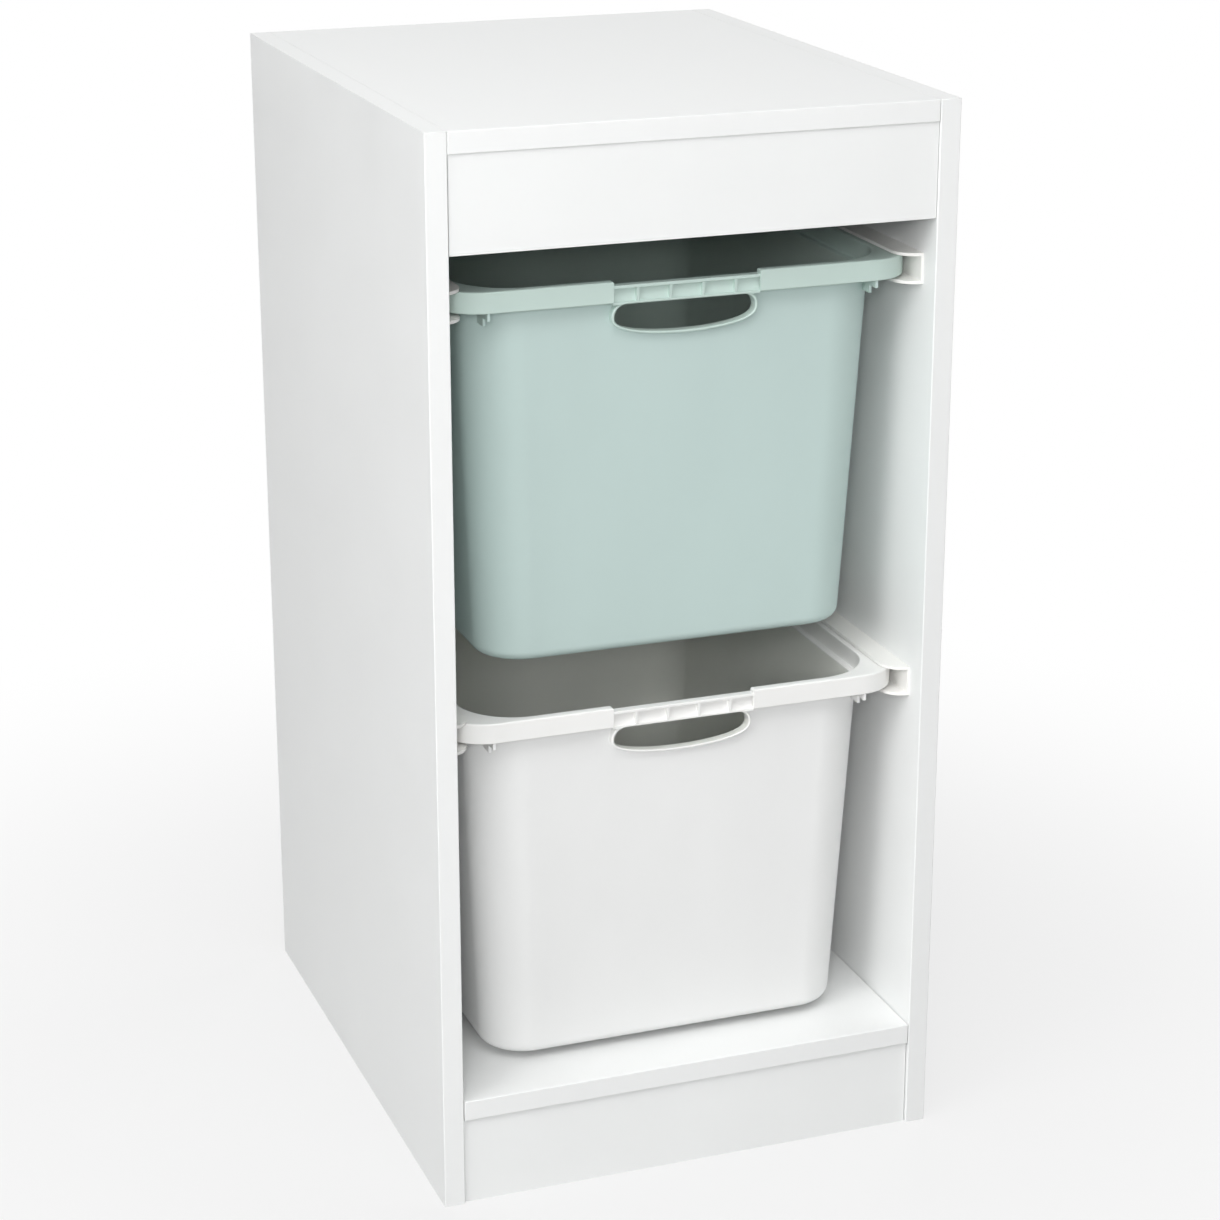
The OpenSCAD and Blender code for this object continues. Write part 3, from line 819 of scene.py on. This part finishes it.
def handleBar(size, bin, name):
    # strip, hollow face and foot over the hand hole, as one bar across the front
    strip, drop = size["stripHeight"], -size["drop"]
    cove, face, foot = bin["mouthFront"] - bin["wall"], size["stripSet"], size["footSet"]
    top = -bin["ledgeDepth"] - bin["wall"] - size["holeGap"]
    low = top + size["lipWidth"]
    soft, deep = size["edgeRound"], bin["mouthFront"] - 1
    hollow = drop - strip - size["flat"]
    outline = [(deep, drop)] + arc((face + soft, drop - soft), soft, 90, 180, 4)
    outline += arc((face + soft, drop - strip + soft), soft, 180, 270, 4) + [(cove, drop - strip)]
    for k in range(13):
        a = math.radians(90 * k / 12)
        outline.append((foot + (cove - foot) * math.cos(a), hollow + (low - hollow) * math.sin(a)))
    outline += arc((foot + soft, top + soft), soft, 180, 270, 4) + [(deep, top)]
    reach = size["width"] / 2 + size["overlap"]
    return extrudeAlong(name, outline, "x", -reach, reach)


def notchCutters(size):
    # takes the band away where the handle is, and rounds the band's upper end corners
    half, soft, drop = size["width"] / 2, size["endRound"], -size["drop"]
    over, topDeep, bandDeep, bandLow = 1, 8, 3.5, -20
    outline = [(half, drop)] + arc((half + soft, -soft), soft, 180, 90, 5) + [(half + soft, over)]
    outline = outline + [(-x, z) for x, z in reversed(outline)]
    top = extrudeAlong("notchTop", outline, "y", -over, topDeep)
    section = [(-over, bandLow), (bandDeep, bandLow), (bandDeep, drop + over), (-over, drop + over)]
    return top, extrudeAlong("notchBand", section, "x", -half, half)


def ribs(size, bin):
    # ribs in the handle's hollow, fading into its foot
    top = size["drop"] + size["stripHeight"]
    high = bin["ledgeDepth"] + bin["wall"] + size["holeGap"] - size["lipWidth"] - top
    rise = size["footSet"] - size["stripSet"]
    span, deep = size["ribSpan"], size["ribDepth"]
    middle = (size["stripSet"] + rise / 2 + deep / 2, -top - high / 2)
    host = newPiece("ribs", [(0, 0, 0)], [])
    runTree(host, ribRow, Count=size["ribCount"], Start=(-span / 2, *middle),
            Step=(span / (size["ribCount"] - 1), 0, 0),
            Rib=(size["ribWidth"], deep, high + 2 * size["overlap"]), Lean=(math.atan(rise / high), 0, 0))
    return host


def cornerWeb(side, size, bin, half):
    # stepped web from the band back to the wall, its ends inside both
    across = half - bin["mouthSide"] - size["in"]
    radius = bin["mouthRadius"] + bin["wall"] / 2
    centre = (half - bin["mouthSide"] - bin["mouthRadius"], bin["mouthFront"] + bin["mouthRadius"])
    lean = size["cornerLean"] * math.tan(math.radians(bin["draft"]))

    def wallMiddle(radius):
        return centre[1] - math.sqrt(radius ** 2 - (across - centre[0]) ** 2)
    upper, tub = wallMiddle(radius), wallMiddle(radius - bin["ledgeWidth"])
    low = tub + lean * (size["low"] - bin["ledgeDepth"])
    front, top, cut = size["front"], -bin["wall"] / 2, -bin["ledgeDepth"] - bin["wall"] / 2
    outline = [(front, top), (upper, top), (upper, cut), (tub, cut), (low, -size["low"]),
               (size["step"], -size["low"]), (size["step"], -size["high"]), (front, -size["high"])]
    middle = side * across
    return extrudeAlong("web", outline, "x", middle - size["thick"] / 2, middle + size["thick"] / 2)


def paintBin(piece, low, high, size, grip, materials):
    # rim and handle polished, walls grained, and the tub's inside in a copy of the plastic a shade warmer
    # (lighter on the white bin): painted light for the shaded inside
    giveMaterials(piece, *materials)
    neck = high.z - (size["ledgeDepth"] + size["wall"] + 0.5) * mm
    lipBack = low.y + (size["mouthFront"] + size["ledgeWidth"] - size["wall"] - 0.5) * mm
    middle = (low.y + high.y) / 2
    for face in piece.data.polygons:
        at, normal = face.center, face.normal
        polished = at.z > neck or (at.y < lipBack and abs(at.x) < (grip["width"] / 2 + 2) * mm)
        wallSide = at.x * normal.x + (at.y - middle) * normal.y
        floor = normal.z > 0.7 and at.z > low.z + 1.5 * mm
        # inside walls and floor get the copy with painted light
        face.material_index = 0 if polished else 2 if floor or (wallSide < 0 and normal.z > -0.5) else 1


def handHole(size, bin):
    # the lip that stands round the hand hole, and the hole that goes through it
    top = -bin["ledgeDepth"] - bin["wall"] - size["holeGap"]
    lip, soft = size["lipWidth"], size["lipWidth"] / 2
    deep, through, before = bin["mouthFront"] + bin["ledgeWidth"], 8, -2
    plug = [[(x, deep, z) for x, z in holeOutline(size, top, lip)]]
    plug += [leaningRing(holeOutline(size, top, lip - soft * c), size, top, soft * s)
             for c, s in quarterTurn(4)]
    hole = [[(x, deep + through, z) for x, z in holeOutline(size, top, 0)]]
    hole += [leaningRing(holeOutline(size, top, soft * c), size, top, soft * s)
             for c, s in quarterTurn(5)]
    hole.append([(x, before, z) for x, z in holeOutline(size, top, soft)])
    return plug, hole


def makeBin(node, name, materials, body):
    # the whole moulding, made in millimetres about its front and its rim, then set in its place
    low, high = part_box(node)
    half, length, height = high.x / mm, (high.y - low.y) / mm, (high.z - low.z) / mm
    size, grip = binSizes, handleSizes
    rings = []
    for ringHalf, front, radius, z, drop in binRings(size, half, length, height):
        columns = ringColumns(ringHalf, front, radius, length, size)
        rings.append([(p[0], p[1], z - size["skirtDrop"] * drop * skirt) for p, skirt in columns])
    piece = loft(name, rings)
    cleanShell(piece, 1e-3)
    for cutter in notchCutters(grip):
        combine(piece, cutter, "DIFFERENCE")
    combine(piece, handleBar(grip, size, "bar"), "UNION")
    combine(piece, ribs(grip, size), "UNION")
    plug, hole = handHole(grip, size)
    combine(piece, loft("lip", plug), "UNION")
    combine(piece, loft("hole", hole), "DIFFERENCE")
    for side in (-1, 1):
        combine(piece, cornerWeb(side, webSizes, size, half), "UNION")
    for vertex in piece.data.vertices:
        x, y, z = vertex.co
        vertex.co = (x * mm, low.y + y * mm, high.z + z * mm)
    cleanShell(piece, 2e-6)
    paintBin(piece, low, high, size, grip, materials)
    settle(piece, node, body)


makeBin("bin_upper", "bin_upper_moulding", (mintRim, mintBody, mintInsidePaintedLight), "upper_bin")
print("upper bin made")
makeBin("bin_lower", "bin_lower_moulding", (whiteRim, whiteBody, whiteInsidePaintedLight), "lower_bin")
print("lower bin made")


# Stage, light and camera

floorSizes = {"reach": 6, "grey": 0.6, "roughness": 0.8, "specular": 0.1, "fadeFrom": 0.25, "fadeTo": 1.1,
              "leastWhite": 0.7}


def makeStage(size):
    # a pale floor that keeps the shadow near the cabinet and runs out into plain white
    r, grey = size["reach"], size["grey"]
    floor = newPiece("floor", [(-r, -r, 0), (r, -r, 0), (r, r, 0), (-r, r, 0)], [(0, 1, 2, 3)])
    material, nodes, links, shader = newMaterial("floorWhite", (grey, grey, grey), size["roughness"],
                                                 Specular_IOR_Level=size["specular"])
    place = nodes.new("ShaderNodeTexCoord")
    reach = nodes.new("ShaderNodeVectorMath")
    reach.operation = "LENGTH"
    fade = nodes.new("ShaderNodeMapRange")
    fade.interpolation_type = "SMOOTHSTEP"
    fade.inputs["From Min"].default_value = size["fadeFrom"]
    fade.inputs["From Max"].default_value = size["fadeTo"]
    fade.inputs["To Min"].default_value = size["leastWhite"]
    rays = nodes.new("ShaderNodeLightPath")
    seen = nodes.new("ShaderNodeMath")
    seen.operation = "MULTIPLY"
    white = nodes.new("ShaderNodeEmission")
    mix = nodes.new("ShaderNodeMixShader")
    links.new(place.outputs["Object"], reach.inputs[0])
    links.new(reach.outputs["Value"], fade.inputs["Value"])
    links.new(fade.outputs["Result"], seen.inputs[0])
    links.new(rays.outputs["Is Camera Ray"], seen.inputs[1])
    links.new(seen.outputs["Value"], mix.inputs["Fac"])
    links.new(shader.outputs["BSDF"], mix.inputs[1])
    links.new(white.outputs["Emission"], mix.inputs[2])
    links.new(mix.outputs["Shader"], nodes["Material Output"].inputs["Surface"])
    giveMaterials(floor, material)


def makeWorld(ambient):
    # an even sky for the object, and plain white wherever the camera or a reflection sees it
    world = bpy.data.worlds.new("studio")
    bpy.context.scene.world = world
    world.use_nodes = True
    nodes, links = world.node_tree.nodes, world.node_tree.links
    sky = nodes["Background"]
    sky.inputs["Color"].default_value = (1, 1, 1, 1)
    rays = nodes.new("ShaderNodeLightPath")
    seen = nodes.new("ShaderNodeMath")
    seen.operation = "MAXIMUM"
    seenAll = nodes.new("ShaderNodeMath")
    seenAll.operation = "MAXIMUM"
    level = nodes.new("ShaderNodeMapRange")
    level.inputs["To Min"].default_value = ambient
    level.inputs["To Max"].default_value = 1.0
    links.new(rays.outputs["Is Camera Ray"], seen.inputs[0])
    links.new(rays.outputs["Is Glossy Ray"], seen.inputs[1])
    links.new(seen.outputs["Value"], seenAll.inputs[0])
    links.new(rays.outputs["Is Transmission Ray"], seenAll.inputs[1])
    links.new(seenAll.outputs["Value"], level.inputs["Value"])
    links.new(level.outputs["Result"], sky.inputs["Strength"])


def standOff(thing, aim, azimuth, elevation, distance):
    # sets a lamp or camera off the aim and turns it there, azimuth from the front towards the left
    a, e = math.radians(azimuth), math.radians(elevation)
    back = Vector((-math.sin(a) * math.cos(e), -math.cos(a) * math.cos(e), math.sin(e)))
    thing.location = Vector(aim) + back * distance
    thing.rotation_euler = (-back).to_track_quat("-Z", "Y").to_euler()
    bpy.context.scene.collection.objects.link(thing)


def addSoftbox(name, azimuth, elevation, distance, size, power, mirrored=True):
    # a square lamp; a fill that isn't mirrored stays out of the sheen on the boards
    light = bpy.data.lights.new(name, "AREA")
    light.size = size
    light.energy = power
    lamp = bpy.data.objects.new(name, light)
    lamp.visible_glossy = mirrored
    standOff(lamp, (0, 0, 0.45), azimuth, elevation, distance)


cameraView = {"lens": 90, "azimuth": 20.3, "elevation": 19.1, "distance": 2.47, "aim": (0.0215, 0, 0.3738)}


def makeCamera(view):
    camera = bpy.data.cameras.new("camera")
    camera.lens = view["lens"]
    camera.sensor_width = 36
    holder = bpy.data.objects.new("camera", camera)
    standOff(holder, view["aim"], view["azimuth"], view["elevation"], view["distance"])
    bpy.context.scene.camera = holder


makeStage(floorSizes)
makeWorld(0.08)
addSoftbox("leftKey", azimuth=42, elevation=42, distance=4.0, size=3.0, power=54)
addSoftbox("sideKey", azimuth=68, elevation=25, distance=3.2, size=2.0, power=38)
addSoftbox("topKey", azimuth=10, elevation=60, distance=3.8, size=2.4, power=46)
addSoftbox("cameraFill", azimuth=21, elevation=19.4, distance=3.7, size=0.7, power=41, mirrored=False)
addSoftbox("rightFill", azimuth=-105, elevation=20, distance=3.4, size=2.2, power=36, mirrored=False)
addSoftbox("rearFill", azimuth=188, elevation=18, distance=3.4, size=2.4, power=42, mirrored=False)
makeCamera(cameraView)
bpy.context.scene.view_settings.view_transform = "Standard"
print("stage, light and camera set")
